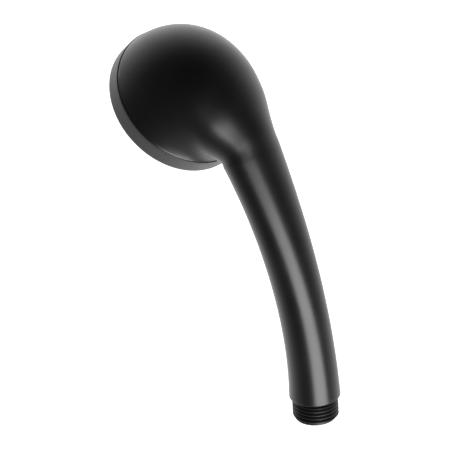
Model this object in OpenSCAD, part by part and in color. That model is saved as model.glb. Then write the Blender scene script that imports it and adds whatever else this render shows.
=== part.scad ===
// Hand shower: a curved hollow handle that swells into a domed head, with a screwed
// ring that clamps the spray face, and the water parts inside. Millimetres, +Z up.
// The origin is the centre of the inlet end face, and the spray face looks toward -Y.

/* [Inlet thread] */
// Crest diameter of the G1/2 pipe thread
thread_d = 20.9; // [20.6:0.05:20.95]
// Root diameter of the thread
thread_root_d = 18.6; // [18.4:0.1:18.8]
// Thread pitch
thread_pitch = 1.814; // [1.8:0.001:1.82]
// Thread crests on the inlet
thread_crests = 6; // [5:1:6]
// Length of the thread, up to the handle
thread_len = 11.1; // [11.1:0.1:11.6]

/* [Handle] */
// Length of the curved centre line, from the thread into the head
spine_len = 150.7; // [149:0.1:152]
// Bend of the centre line toward the spray side, in degrees
spine_bend = 42.5; // [42:0.1:43]
// Straightening of that bend toward the head, in degrees
spine_relax = 9.6; // [9:0.1:10]
// Handle radius at the thread
foot_r = 11.7; // [11.6:0.05:12]
// Handle radius a quarter of the way up
grip_low_r = 11.1; // [10.9:0.05:11.3]
// Handle radius half way up
grip_mid_r = 11.65; // [11.5:0.05:11.8]
// Handle radius three quarters of the way up
grip_top_r = 13.15; // [13:0.05:13.3]
// Radius where the handle has run into the head
neck_r = 16.6; // [16.4:0.1:17]
// How much the neck is wider than it is deep, as a share of its radius
neck_flatten = 0.105; // [0.1:0.005:0.12]
// Wall thickness of the shell
wall = 2.4; // [2.2:0.1:2.6]

/* [Head] */
// Head centre on the parting plane, distance in front of the inlet axis
head_reach = 69.1; // [69:0.1:69.3]
// Head centre on the parting plane, height above the inlet face
head_height = 143.3; // [143.1:0.1:143.5]
// Angle that the spray looks down from level, in degrees
spray_angle = 47.5; // [47.3:0.1:47.7]
// Radius of the clamp ring
ring_r = 34.15; // [34.1:0.05:34.3]
// Height of the clamp ring
ring_h = 8.5; // [8.5:0.1:9]
// Radius of the hollow between the ring and the front of the handle
throat_r = 2.66; // [2.6:0.02:2.7]

/* [Head outline] */
// Depth from that hollow to the head's back, one sixth of the way from neck to ring
back_1 = 27.65; // [27.4:0.05:27.9]
// Depth to the head's back, two sixths of the way
back_2 = 32.4; // [32.2:0.1:32.6]
// Depth to the head's back, half way
back_3 = 42.25; // [42:0.05:42.5]
// Depth to the head's back, four sixths of the way
back_4 = 55.6; // [55.4:0.1:55.8]
// Depth to the head's back, five sixths of the way
back_5 = 65.15; // [65:0.05:65.3]
// Half width of the head, one sixth of the way from neck to ring
side_1 = 15.05; // [14.9:0.05:15.2]
// Half width of the head, two sixths of the way
side_2 = 17.05; // [16.9:0.05:17.2]
// Half width of the head, half way
side_3 = 20.45; // [20.3:0.05:20.6]
// Half width of the head, four sixths of the way
side_4 = 24.25; // [24.1:0.05:24.4]
// Half width of the head, five sixths of the way
side_5 = 28.9; // [28.8:0.05:29]
// How fast the neck starts to widen into the head
neck_flare = 0.98; // [0.9:0.02:1.06]

/* [Spray face] */
// Nozzles in the innermost row
inner_nozzles = 8; // [6:1:9]
// Nozzles added in each row outward
nozzle_step = 6; // [5:1:6]
// Rows of nozzles
nozzle_rows = 4; // [3:1:4]
// Radius of the innermost row
nozzle_row_r = 8.6; // [8.4:0.1:8.8]
// Distance between rows
nozzle_row_gap = 5.6; // [5.4:0.1:5.6]
// How far the nozzle tips stand out of the spray plate
nozzle_out = 1.3; // [1:0.1:1.5]

/* [Valve] */
// Opening travel of the check valve
valve_travel = 2.5; // [2:0.1:2.6]

/* [Hidden] */
$fn = 96;

shell_black = "#232426";
face_grey = "#5c5f63";
inner_white = "#d9d9d4";
rubber_black = "#1a1a1b";
steel = "#b9bcc0";
filter_blue = "#3f6fb5";
regulator_green = "#3d8f5a";
poppet_cream = "#e7e4da";
nozzle_grey = "#8d9196";

// Head frame: out of the spray face, and up across it
face_out = [-cos(spray_angle), -sin(spray_angle)];
face_up = [-sin(spray_angle), cos(spray_angle)];
head_at = [-head_reach, head_height];
seam_r = ring_r - 0.3;
pivot = head_at - face_up * (seam_r + throat_r);

// Chamfer on the foot of the handle
foot_edge = 0.5;

// Loft resolution
handle_steps = 16;
fan_steps = 24;
around = 32;
spine_steps = 60;

// Clearances, and how far a cutter runs past the surface it opens
gap = 0.05;
insert_gap = 0.1;
tube_gap = 0.12;
past = 1;

// Valve stack inside the nipple, heights above the inlet face
nipple_bore_r = 6.6;
insert_r = 9.0;
insert_top = 21;
neck_outer_r = 7.6;
nipple_top = 32;
ledge_z = 21.5;
ledge_bore_r = 4.6;
socket_z = 24.5;
cartridge_r = 6.5;
valve_bore_r = 5.2;
seat_z = 9.6;
head_r = 4.3;
head_top_z = 11.6;
spring_open_len = 5.3;
guide_z = head_top_z + spring_open_len + valve_travel;

// O-rings: centre height, radius of the ring, radius of its cord
nipple_seal = [16, 8.4, 0.68];
regulator_seal = [4.9, 3.7, 0.85];
valve_seal = [12.5, 6.2, 0.36];
tube_seal_low = [28, 6.05, 0.5];
tube_seal_high = [-3, 6.05, 0.5];
tube_groove_r = 6.6;
tube_groove_half = 0.7;

// Water tube
tube_r = 5.5;
tube_bore_r = 4.3;
tube_sides = 20;
tube_steps = 26;
tube_pull = 40;
port_tilt = 14;
port_up = -28;
port_out = -13.6;

// Spray head stack, distances in front of the parting plane
collar_r = 30.9;
collar_bore_r = 28;
collar_top = 5.5;
cup_r = 21.3;
cup_floor = -11;
cup_wall = 2;
rim_back = 0.6;
rim_front = 2.2;
seal_front = 3.2;
mat_back = 4.5;
mat_front = 6.2;
plate_front = 8.3;
flange_back = 5.75;
flange_front = 6.95;
hub_front = 9.3;
recess_floor = 7.3;
recess_r = 4;
lip_back = 7.0;
lip_r = 29.3;
plate_r = 29.0;
face_r = 27.8;
chamber_screw_count = 3;
chamber_screw_r = 25;
nozzle_foot_r = 1.25;
nozzle_tip_r = 0.95;
nozzle_bore_r = 0.45;
nozzle_hole_r = 1.45;

function smooth(x) = let (t = max(0, min(1, x))) t * t * (3 - 2 * t);
function mix(a, b, t) = a + (b - a) * t;
function rise(a, b, x) = smooth((x - a) / (b - a));

// Centre line of the handle, as [y, z] points
function bend(u) = spine_bend * u - spine_relax * u * u;
spine_step = spine_len / spine_steps;
spine = [for (i = 0, y = 0, z = thread_len;
              i <= spine_steps;
              y = y - sin(bend((i + 0.5) / spine_steps)) * spine_step,
              z = z + cos(bend((i + 0.5) / spine_steps)) * spine_step,
              i = i + 1) [y, z]];
function spine_at(u) =
    let (x = min(max(u, 0), 0.9999) * spine_steps, i = floor(x))
    mix(spine[i], spine[i + 1], x - i);

// Handle radius: one smooth curve through the five given radii
grip = [foot_r, grip_low_r, grip_mid_r, grip_top_r, neck_r];
function product(v, i = 0) = i == len(v) ? 1 : v[i] * product(v, i + 1);
function weight(k, u) = product([for (j = [0:4]) if (j != k) (4 * u - j) / (k - j)]);
function grip_at(u) = grip * [for (k = [0:4]) weight(k, u)];
function flatten(u) = neck_flatten * rise(0.25, 0.8, u);
function half_wide(u) = grip_at(u) * (1 + flatten(u));
function half_deep(u) = grip_at(u) * (1 - flatten(u));

// Sections of the shell: [centre, in-plane direction, half depth, half width]
function square_on(u) = (spine_at(u) - pivot) * [-sin(bend(u)), cos(bend(u))];
function throat_u(a = 0.3, b = 0.95, n = 20) =
    let (m = (a + b) / 2)
    n == 0 ? m : square_on(m) < 0 ? throat_u(m, b, n - 1) : throat_u(a, m, n - 1);
u_throat = throat_u();
throat_gap = norm(spine_at(u_throat) - pivot) - half_deep(u_throat);
fan_start = atan2((spine_at(u_throat) - pivot).y, (spine_at(u_throat) - pivot).x);
fan_end = atan2(face_up.y, face_up.x);

// Smooth curve through evenly spaced values; the first and the last only steer its ends
function steered(v, first_step) = let (n = len(v) - 1)
    concat([v[1] - first_step], v, [3 * v[n] - 3 * v[n - 1] + v[n - 2]]);
function curve_at(v, t) =
    let (x = min(t, 0.99999) * (len(v) - 3),
         i = floor(x),
         q = x - i,
         a = v[i],
         b = v[i + 1],
         c = v[i + 2],
         d = v[i + 3])
    b + q / 2 * (c - a + q * (2 * a - 5 * b + 4 * c - d + q * (3 * (b - c) + d - a)));
backs = steered([throat_gap + 2 * half_deep(u_throat), back_1, back_2, back_3, back_4, back_5,
                 throat_r + 2 * seam_r], 0);
sides = steered([half_wide(u_throat), side_1, side_2, side_3, side_4, side_5, seam_r],
                neck_flare);

handle_sections = [for (i = [0:handle_steps])
    let (u = i == 0 ? 0 : mix(foot_edge / spine_len, u_throat, (i - 1) / (handle_steps - 1)),
         foot = i == 0 ? foot_edge : 0)
    [spine_at(u), [cos(bend(u)), sin(bend(u))], half_deep(u) - foot, half_wide(u) - foot]];
fan_sections = [for (i = [1:fan_steps])
    let (t = i / fan_steps,
         angle = mix(fan_start, fan_end, t),
         d = [cos(angle), sin(angle)],
         near = mix(throat_gap, throat_r, t),
         far = curve_at(backs, t))
    [pivot + d * (far + near) / 2, d, (far - near) / 2, curve_at(sides, t)]];
sections = concat(handle_sections, fan_sections);

function section_ring(s, inset, n) = [for (j = [0:n - 1])
    let (a = 360 * j / n,
         p = s[0] + s[1] * (s[2] - inset) * cos(a))
    [(s[3] - inset) * sin(a), p.x, p.y]];

// Faces between rows of a closed tube of points, two triangles to a cell
function skin(rows, n, first, flip) = [for (i = [0:rows - 2]) for (j = [0:n - 1])
    let (a = first + i * n + j,
         b = first + i * n + (j + 1) % n,
         t1 = [a, b, a + n],
         t2 = [b, b + n, a + n])
    each flip ? [[t1.z, t1.y, t1.x], [t2.z, t2.y, t2.x]] : [t1, t2]];
function rim(a, b, n, flip) = [for (j = [0:n - 1])
    let (k = (j + 1) % n,
         t1 = [a + j, a + k, b + j],
         t2 = [a + k, b + k, b + j])
    each flip ? [[t1.z, t1.y, t1.x], [t2.z, t2.y, t2.x]] : [t1, t2]];

// A pipe of rows of points: outer rows, then inner rows, joined at both ends
module pipe(outer, inner) {
    rows = len(outer);
    n = len(outer[0]);
    half = rows * n;
    polyhedron(
        points = concat([for (r = outer) each r], [for (r = inner) each r]),
        faces = concat(
            skin(rows, n, 0, false),
            skin(rows, n, half, true),
            rim(0, half, n, true),
            rim((rows - 1) * n, half + (rows - 1) * n, n, false)));
}

// Places a shape in the head frame: +Z out of the spray face, +Y up across it
module in_head() {
    translate([0, head_at.x, head_at.y]) rotate([90 + spray_angle, 0, 0]) children();
}

// Places a shape on the water port of the chamber: +Z along the tube's end, into the chamber
module on_port() {
    in_head() translate([0, port_up, port_out]) rotate([-90 - port_tilt, 0, 0]) children();
}

// A straight ring, or a disc where the inner radius is 0
module ring_of(r_out, r_in, from, to) {
    translate([0, 0, from]) difference() {
        cylinder(h = to - from, r = r_out);
        if (r_in > 0) translate([0, 0, -past]) cylinder(h = to - from + 2 * past, r = r_in);
    }
}

// seal is [height, ring radius, cord radius]
module o_ring(seal) {
    translate([0, 0, seal[0]]) rotate_extrude() translate([seal[1], 0]) circle(r = seal[2], $fn = 32);
}

module around_face(count, radius, start = 0) {
    for (i = [0:count - 1])
        rotate([0, 0, start + 360 * i / count]) translate([0, radius, 0]) children();
}

module handle_shell() {
    post_r = 2.7;
    post_back = -10;
    post_wall = 1;
    post_hole_r = 1.15;
    rib = [1.6, 6.4, 5];
    rib_back = -6;
    collar_back = -2.2;
    collar_root = 1.4;
    insert_spare = 0.5;
    color(shell_black) difference() {
        union() {
            pipe([for (s = sections) section_ring(s, 0, around)],
                 [for (s = sections) section_ring(s, wall, around)]);
            in_head() ring_of(seam_r - collar_root, collar_bore_r, collar_back, -gap);
            in_head() ring_of(collar_r, collar_bore_r, collar_back, collar_top);
            in_head() around_face(chamber_screw_count, chamber_screw_r) {
                ring_of(post_r, 0, post_back, rim_back - gap);
                translate([-rib.x / 2, 0, rib_back]) cube(rib);
            }
        }
        ring_of(insert_r + insert_gap, 0, thread_len - past, insert_top + insert_spare);
        in_head() around_face(chamber_screw_count, chamber_screw_r)
            ring_of(post_hole_r, 0, post_back + post_wall, rim_back + past);
    }
}

// Half the outline of the inlet: thread crests, the glued insert, the neck and the tube socket
function nipple_outline() =
    let (root = thread_root_d / 2,
         crest = thread_d / 2,
         first = 0.9,
         flat = 0.4,
         flank = 0.35,
         lead_in = 2)
    concat(
        [[nipple_bore_r, 0], [root - flat, 0], [root, flat]],
        [for (k = [0:thread_crests - 1]) let (z = first + k * thread_pitch)
            each [[root, z - flank], [crest, z], [crest, z + flat], [root, z + flat + flank]]],
        [[root, thread_len], [insert_r, thread_len], [insert_r, insert_top],
         [neck_outer_r, insert_top + 1], [neck_outer_r, nipple_top],
         [tube_r + 5 * tube_gap, nipple_top], [tube_r + tube_gap, nipple_top - lead_in],
         [tube_r + tube_gap, socket_z], [ledge_bore_r, socket_z], [ledge_bore_r, ledge_z],
         [nipple_bore_r, ledge_z]]);

module inlet_nipple() {
    groove_r = 7.7;
    groove_half = 0.8;
    color(shell_black) difference() {
        rotate_extrude() polygon(nipple_outline());
        ring_of(insert_r + past, groove_r, nipple_seal[0] - groove_half, nipple_seal[0] + groove_half);
        ring_of(tube_groove_r, 0, tube_seal_low[0] - tube_groove_half,
                tube_seal_low[0] + tube_groove_half);
    }
}

module nipple_o_ring() {
    color(rubber_black) o_ring(nipple_seal);
}

module filter_rim() {
    color(filter_blue) ring_of(cartridge_r, 5.5, 0.8, 2.8);
}

module filter_mesh() {
    mesh_r = 5.45;
    back = 1.6;
    thick = 0.4;
    hole = 0.85;
    step = 1.35;
    last = 4.6;
    color(steel) difference() {
        ring_of(mesh_r, 0, back, back + thick);
        for (i = [-3:3], j = [-3:3])
            if (norm([i, j]) * step < last)
                translate([i * step, j * step, back + thick / 2]) cube([hole, hole, 2], center = true);
    }
}

module flow_regulator_body() {
    back = 3.2;
    front = 7;
    cup_front = 5.8;
    cup_bore_r = 5.3;
    color(regulator_green) difference() {
        ring_of(cartridge_r, 0, back, front);
        ring_of(cup_bore_r, 0, back - past, cup_front);
        around_face(8, 4) cylinder(h = front + past, r = 0.9, $fn = 32);
        cylinder(h = front + past, r = 1.1);
    }
}

// A stepped pin in the middle of the regulator: flange, waist and stem
module flow_regulator_core() {
    flange = [2.5, 3.4];
    waist = [2, 4.3];
    stem = [1.05, 5.8];
    stem_top = 7.4;
    color(inner_white) rotate_extrude()
        polygon([[0, flange.y], flange, [flange.x, flange.y + 0.5], waist, [waist.x, stem.y], stem,
                 [stem.x, stem_top], [0, stem_top]]);
}

module flow_regulator_o_ring() {
    color(rubber_black) o_ring(regulator_seal);
}

module check_valve_housing() {
    back = 7.6;
    front = 21.4;
    inlet_r = 3.4;
    spoke = 1.2;
    hub_r = 2.3;
    stem_hole_r = 1.2;
    groove_r = 5.82;
    groove_half = 0.5;
    color(inner_white) difference() {
        ring_of(cartridge_r, 0, back, front);
        ring_of(inlet_r, 0, back - past, seat_z + gap);
        ring_of(valve_bore_r, 0, seat_z, guide_z);
        for (i = [0:3]) rotate([0, 0, 90 * i])
            translate([0, 0, guide_z - past]) linear_extrude(front - guide_z + 2 * past)
                difference() {
                    intersection() {
                        circle(r = valve_bore_r);
                        translate([spoke / 2, spoke / 2]) square(cartridge_r);
                    }
                    circle(r = hub_r);
                }
        ring_of(stem_hole_r, 0, guide_z - past, front + past);
        ring_of(cartridge_r + past, groove_r, valve_seal[0] - groove_half, valve_seal[0] + groove_half);
    }
}

// Turned outline: pointed nose, seal groove, head, guide stem
module check_valve_poppet() {
    nose_z = 8.2;
    groove_r = 2.8;
    groove_top = seat_z + 0.85;
    stem_r = 1;
    stem_top = guide_z + 3;
    edge = 0.3;
    color(poppet_cream) rotate_extrude()
        polygon([[0, nose_z], [1.6, nose_z + 0.4], [groove_r, seat_z - 0.2], [groove_r, groove_top],
                 [head_r, groove_top], [head_r, head_top_z - edge], [head_r - edge, head_top_z],
                 [stem_r, head_top_z], [stem_r, stem_top - 0.2], [stem_r - 0.2, stem_top], [0, stem_top]]);
}

module check_valve_seal() {
    color(rubber_black) ring_of(head_r, 2.85, seat_z + 0.03, seat_z + 0.83);
}

module check_valve_spring() {
    coil_r = 1.75;
    wire = 0.3;
    turns = 5;
    steps = 80;
    sides = 8;
    from = head_top_z + wire + 0.02;
    to = guide_z - wire - 0.02;
    rows = [for (i = [0:steps]) [for (j = [0:sides - 1])
        let (t = i / steps, a = 360 * turns * t, b = 360 * j / sides,
             r = coil_r + wire * cos(b))
        [r * cos(a), r * sin(a), mix(from, to, t) + wire * sin(b)]]];
    color(steel) polyhedron(
        points = [for (r = rows) each r],
        faces = concat(skin(steps + 1, sides, 0, false),
                       [[for (j = [sides - 1:-1:0]) j]],
                       [[for (j = [0:sides - 1]) steps * sides + j]]));
}

module check_valve_o_ring() {
    color(rubber_black) o_ring(valve_seal);
}

// Water tube: a smooth curve from the inlet socket to the chamber port
port_at = head_at + face_up * port_up + face_out * port_out;
port_dir = face_up * cos(port_tilt) - face_out * sin(port_tilt);
tube_from = [0, socket_z + gap];
tube_to = port_at - port_dir * gap;
tube_pull_1 = tube_from + [0, tube_pull];
tube_pull_2 = tube_to - port_dir * tube_pull;
function tube_point(t) = pow(1 - t, 3) * tube_from + 3 * t * pow(1 - t, 2) * tube_pull_1
    + 3 * t * t * (1 - t) * tube_pull_2 + pow(t, 3) * tube_to;
function tube_slope(t) = pow(1 - t, 2) * (tube_pull_1 - tube_from)
    + 2 * t * (1 - t) * (tube_pull_2 - tube_pull_1) + t * t * (tube_to - tube_pull_2);
tube_sections = [for (i = [0:tube_steps])
    let (t = i / tube_steps, s = tube_slope(t) / norm(tube_slope(t)))
    [tube_point(t), [s.y, -s.x], tube_r, tube_r]];

module water_tube() {
    color(inner_white)
        pipe([for (s = tube_sections) section_ring(s, 0, tube_sides)],
             [for (s = tube_sections) section_ring(s, tube_r - tube_bore_r, tube_sides)]);
}

module tube_o_ring_lower() {
    color(rubber_black) o_ring(tube_seal_low);
}

module tube_o_ring_upper() {
    color(rubber_black) on_port() o_ring(tube_seal_high);
}

// A shallow cup with a flange, fed from below through the port and a hollow boss in its floor
module water_chamber() {
    boss_at = [0, -20, -15.5];
    boss = [6, 6];
    boss_bore = [3.8, 8];
    port = [7.6, -5, 12];
    port_bore_len = 10;
    screw_hole_r = 1.3;
    sink = [1.2, 2.5, 1.25];
    color(inner_white) difference() {
        union() {
            in_head() ring_of(face_r, 0, rim_back, rim_front);
            in_head() ring_of(cup_r, 0, cup_floor, rim_front);
            in_head() translate(boss_at) cylinder(h = boss.y, r = boss.x);
            on_port() ring_of(port[0], 0, port[1], port[2]);
        }
        in_head() ring_of(cup_r - cup_wall, 0, cup_floor + cup_wall, rim_front + past);
        in_head() translate(boss_at) cylinder(h = boss_bore.y, r = boss_bore.x);
        on_port() ring_of(tube_r + tube_gap, 0, port[1] - past, 0);
        on_port() ring_of(tube_bore_r, 0, 0, port_bore_len);
        on_port() ring_of(tube_groove_r, 0, tube_seal_high[0] - tube_groove_half,
                          tube_seal_high[0] + tube_groove_half);
        in_head() around_face(chamber_screw_count, chamber_screw_r) {
            ring_of(screw_hole_r, 0, rim_back - past, rim_front + past);
            translate([0, 0, rim_front - sink[2]]) cylinder(h = sink[2] + gap, r1 = sink[0], r2 = sink[1]);
        }
    }
}

module chamber_screws() {
    shank_r = 1.1;
    shank_back = -8;
    head = [2.25, 1.15];
    head_back = rim_front - 1.2;
    slot = [2.6, 0.5];
    slot_floor = rim_front - 0.6;
    color(steel) in_head() around_face(chamber_screw_count, chamber_screw_r) difference() {
        union() {
            ring_of(shank_r, 0, shank_back, head_back);
            translate([0, 0, head_back]) cylinder(h = head.y, r1 = shank_r, r2 = head.x);
        }
        cross_slot(slot, slot_floor);
    }
}

module cross_slot(slot, floor_z) {
    for (turn = [0, 90]) rotate([0, 0, turn])
        translate([-slot.x / 2, -slot.y / 2, floor_z]) cube([slot.x, slot.y, past]);
}

module face_seal() {
    color(rubber_black) in_head() ring_of(22.6, 20, rim_front, seal_front);
}

module diffuser_plate() {
    thick = 0.8;
    rim_bore_r = 26.2;
    hub_r = 3.4;
    hub_back = -4;
    screw_hole = [1.3, -3];
    hole_r = 1.5;
    color(inner_white) in_head() difference() {
        union() {
            ring_of(face_r, 0, seal_front, seal_front + thick);
            ring_of(face_r, rim_bore_r, seal_front, mat_back);
            ring_of(hub_r, 0, hub_back, mat_back);
        }
        ring_of(screw_hole.x, 0, screw_hole.y, mat_back + past);
        around_face(8, 8) cylinder(h = mat_back + past, r = hole_r, $fn = 32);
        around_face(14, 15) cylinder(h = mat_back + past, r = hole_r, $fn = 32);
    }
}

module at_nozzles() {
    for (k = [0:nozzle_rows - 1]) {
        count = inner_nozzles + k * nozzle_step;
        around_face(count, nozzle_row_r + k * nozzle_row_gap, 180 / count) children();
    }
}

module nozzle_mat() {
    foot = mat_front - 0.1;
    tip = plate_front + nozzle_out;
    screw_hole_r = 1.6;
    color(nozzle_grey) in_head() difference() {
        union() {
            ring_of(face_r, 0, mat_back, mat_front);
            at_nozzles() translate([0, 0, foot])
                cylinder(h = tip - foot, r1 = nozzle_foot_r, r2 = nozzle_tip_r, $fn = 32);
        }
        ring_of(screw_hole_r, 0, mat_back - past, mat_front + past);
        at_nozzles() translate([0, 0, mat_back - past])
            cylinder(h = tip - mat_back + 2 * past, r = nozzle_bore_r, $fn = 24);
    }
}

module spray_plate() {
    hub_r = 5.4;
    screw_hole_r = 1.6;
    color(face_grey) in_head() difference() {
        union() {
            ring_of(plate_r, 0, mat_front, plate_front);
            ring_of(collar_r - 0.2, face_r + 0.3, flange_back, flange_front);
            ring_of(hub_r, 0, mat_front, hub_front);
        }
        at_nozzles() cylinder(h = hub_front + past, r = nozzle_hole_r, $fn = 32);
        cylinder(h = hub_front + past, r = screw_hole_r);
        ring_of(recess_r, 0, recess_floor, hub_front + past);
    }
}

module plate_screw() {
    shank = [1.2, -2.5];
    head = [2.9, 1.2];
    head_back = recess_floor + gap;
    slot = [3.2, 0.6];
    color(steel) in_head() difference() {
        union() {
            ring_of(shank.x, 0, shank.y, head_back + gap);
            ring_of(head.x, 0, head_back, head_back + head.y);
        }
        cross_slot(slot, head_back + 0.65);
    }
}

module screw_cap() {
    back = 8.65;
    cap_r = 3.9;
    front = 9.6;
    edge = 0.3;
    color(shell_black) in_head() rotate_extrude()
        polygon([[0, back], [cap_r, back], [cap_r, front - 0.4], [cap_r - edge, front - 0.15], [0, front]]);
}

module clamp_ring() {
    edge = 0.9;
    back = 0.15;
    back_edge = 0.25;
    lip_edge = 0.3;
    bore_r = collar_r + 0.3;
    color(shell_black) in_head() rotate_extrude() polygon(concat(
        [[bore_r, back], [ring_r - back_edge, back], [ring_r, back + back_edge]],
        [for (a = [0:15:90]) [ring_r - edge + edge * cos(a), ring_h - edge + edge * sin(a)]],
        [[lip_r + lip_edge, ring_h], [lip_r, ring_h - lip_edge], [lip_r, lip_back], [bore_r, lip_back]]));
}

handle_shell();
inlet_nipple();
nipple_o_ring();
filter_rim();
filter_mesh();
flow_regulator_body();
flow_regulator_core();
flow_regulator_o_ring();
check_valve_housing();
check_valve_poppet();
check_valve_seal();
check_valve_spring();
check_valve_o_ring();
water_tube();
tube_o_ring_lower();
tube_o_ring_upper();
water_chamber();
chamber_screws();
face_seal();
diffuser_plate();
nozzle_mat();
spray_plate();
plate_screw();
screw_cap();
clamp_ring();
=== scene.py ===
import bpy
import bmesh
import math
from mathutils import Matrix, Vector


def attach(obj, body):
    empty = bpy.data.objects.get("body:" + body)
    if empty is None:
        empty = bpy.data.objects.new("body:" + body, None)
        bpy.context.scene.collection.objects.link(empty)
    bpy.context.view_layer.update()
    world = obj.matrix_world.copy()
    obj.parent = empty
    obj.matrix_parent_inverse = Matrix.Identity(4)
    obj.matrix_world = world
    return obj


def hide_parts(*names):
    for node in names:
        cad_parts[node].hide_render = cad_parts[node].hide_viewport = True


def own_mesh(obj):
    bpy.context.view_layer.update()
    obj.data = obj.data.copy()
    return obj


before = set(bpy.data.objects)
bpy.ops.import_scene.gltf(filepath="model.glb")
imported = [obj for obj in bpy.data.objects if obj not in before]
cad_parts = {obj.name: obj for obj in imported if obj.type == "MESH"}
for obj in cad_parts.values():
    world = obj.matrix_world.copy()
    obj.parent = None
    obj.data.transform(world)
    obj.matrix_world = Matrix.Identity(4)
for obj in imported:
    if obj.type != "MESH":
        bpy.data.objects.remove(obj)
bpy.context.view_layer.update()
scene = bpy.context.scene
mm = 0.001

# Shape of the hollow handle and head, in millimetres and degrees.
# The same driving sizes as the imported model, so the smooth shell lies on its solid.
shellSizes = {
    "threadLength": 11.1,
    "spineLength": 150.7,
    "spineBend": 42.5,
    "spineRelax": 9.6,
    "gripRadii": (11.7, 11.1, 11.65, 13.15, 16.6),
    "neckFlatten": 0.105,
    "wall": 2.4,
    "footEdge": 0.5,
    "headReach": 69.1,
    "headHeight": 143.3,
    "sprayAngle": 47.5,
    "seamRadius": 33.85,
    "throatRadius": 2.66,
    # depth and half width across the head, at even steps from the neck to the parting plane
    "headDepths": (27.65, 32.4, 42.25, 55.6, 65.15),
    "headWidths": (15.05, 17.05, 20.45, 24.25, 28.9),
    "neckFlare": 0.98,
    # hollow for the inlet's insert, where the inner wall starts, and the back of the collar
    "insertRadius": 9.1,
    "insertTop": 21.5,
    "innerFrom": 23.0,
    "collarBack": -2.2,
    "footRows": 6,
    "handleRows": 70,
    "fanRows": 76,
    "around": 128,
}

phi = math.radians(shellSizes["sprayAngle"])
faceOut = Vector((-math.cos(phi), -math.sin(phi)))   # y and z, out of the spray face
faceUp = Vector((-math.sin(phi), math.cos(phi)))     # y and z, up across the face
headAt = Vector((-shellSizes["headReach"], shellSizes["headHeight"]))

# Turns head coordinates (across, up the face, out of the face) in mm into the object's in metres
headFrame = (Matrix.Translation((0, headAt.x * mm, headAt.y * mm))
             @ Matrix.Rotation(math.pi / 2 + phi, 4, "X") @ Matrix.Scale(mm, 4))
inletFrame = Matrix.Scale(mm, 4)


def mix(a, b, t):
    return a + (b - a) * t


def rise(start, end, x):
    t = min(1.0, max(0.0, (x - start) / (end - start)))
    return t * t * (3 - 2 * t)


# mesh helpers

def meshPiece(name, verts, faces, sharpAngle=35):
    data = bpy.data.meshes.new(name)
    data.from_pydata(verts, [], faces)
    work = bmesh.new()
    work.from_mesh(data)
    bmesh.ops.remove_doubles(work, verts=work.verts, dist=1e-6)
    bmesh.ops.recalc_face_normals(work, faces=work.faces)
    work.to_mesh(data)
    work.free()
    piece = bpy.data.objects.new(name, data)
    scene.collection.objects.link(piece)
    smoothFaces(piece, sharpAngle)
    return piece


def smoothFaces(piece, sharpAngle=35):
    for polygon in piece.data.polygons:
        polygon.use_smooth = True
    piece.data.set_sharp_from_angle(angle=math.radians(sharpAngle))


# Joins rows of points, each a closed loop, into a skin; the last row meets the first
def loftRows(name, rows, sharpAngle=35):
    count = len(rows[0])
    verts = [point for row in rows for point in row]
    faces = []
    for i in range(len(rows)):
        here, there = i * count, (i + 1) % len(rows) * count
        for j in range(count):
            k = (j + 1) % count
            faces.append((here + j, here + k, there + k, there + j))
    return meshPiece(name, verts, faces, sharpAngle)


# A ring of points in a frame, its radius given or worked out from the angle
def ringOfPoints(place, radius, height, count):
    points = []
    for j in range(count):
        angle = 2 * math.pi * j / count
        r = radius(angle, height) if callable(radius) else radius
        points.append(place @ Vector((r * math.sin(angle), r * math.cos(angle), height)))
    return points


# Turns an outline of (radius, height) points, as on a lathe; it closes on itself
def turned(name, outline, place, count=96, sharpAngle=35):
    rows = [ringOfPoints(place, max(r, 0.0), z, count) for r, z in outline]
    return loftRows(name, rows, sharpAngle)


# A quarter round of an outline, from one angle to another, in degrees
def corner(r, z, size, start, end, steps=6):
    points = []
    for i in range(steps + 1):
        a = math.radians(mix(start, end, i / steps))
        points.append((r + size * math.cos(a), z + size * math.sin(a)))
    return points


# How high a thread stands at an angle and height: 0 at the root, 1 at the rounded crest
def threadRise(angle, height, pitch, sharpness=1.0):
    phase = height / pitch - angle / (2 * math.pi)
    wave = 0.5 + 0.5 * math.cos(2 * math.pi * phase)
    return wave ** sharpness


# the hollow shell: handle, neck and dome in one skin

def bendAt(u):
    return math.radians(shellSizes["spineBend"] * u - shellSizes["spineRelax"] * u * u)


def spinePoints(steps=60):
    y, z, step = 0.0, shellSizes["threadLength"], shellSizes["spineLength"] / steps
    points = [Vector((y, z))]
    for i in range(steps):
        y -= math.sin(bendAt((i + 0.5) / steps)) * step
        z += math.cos(bendAt((i + 0.5) / steps)) * step
        points.append(Vector((y, z)))
    return points


spine = spinePoints()


def spineAt(u):
    x = min(max(u, 0.0), 0.9999) * (len(spine) - 1)
    i = int(x)
    return spine[i].lerp(spine[i + 1], x - i)


# One smooth curve through the five grip radii
def gripAt(u):
    total = 0.0
    for k, radius in enumerate(shellSizes["gripRadii"]):
        share = 1.0
        for j in range(5):
            if j != k:
                share *= (4 * u - j) / (k - j)
        total += radius * share
    return total


def halfWide(u):
    return gripAt(u) * (1 + shellSizes["neckFlatten"] * rise(0.25, 0.8, u))


def halfDeep(u):
    return gripAt(u) * (1 - shellSizes["neckFlatten"] * rise(0.25, 0.8, u))


def halve(test, low, high, steps=24):
    for _ in range(steps):
        middle = (low + high) / 2
        if test(middle):
            low = middle
        else:
            high = middle
    return (low + high) / 2


# A smooth curve through evenly spaced values; the first and last value only steer its ends
def curveAt(values, t):
    x = min(max(t, 0.0), 0.99999) * (len(values) - 3)
    i = int(x)
    q = x - i
    a, b, c, d = values[i:i + 4]
    return b + q / 2 * (c - a + q * (2 * a - 5 * b + 4 * c - d + q * (3 * (b - c) + d - a)))


def steered(start, between, end, firstStep):
    values = [start, *between, end]
    return [values[1] - firstStep, *values, 3 * values[-1] - 3 * values[-2] + values[-3]]


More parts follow.
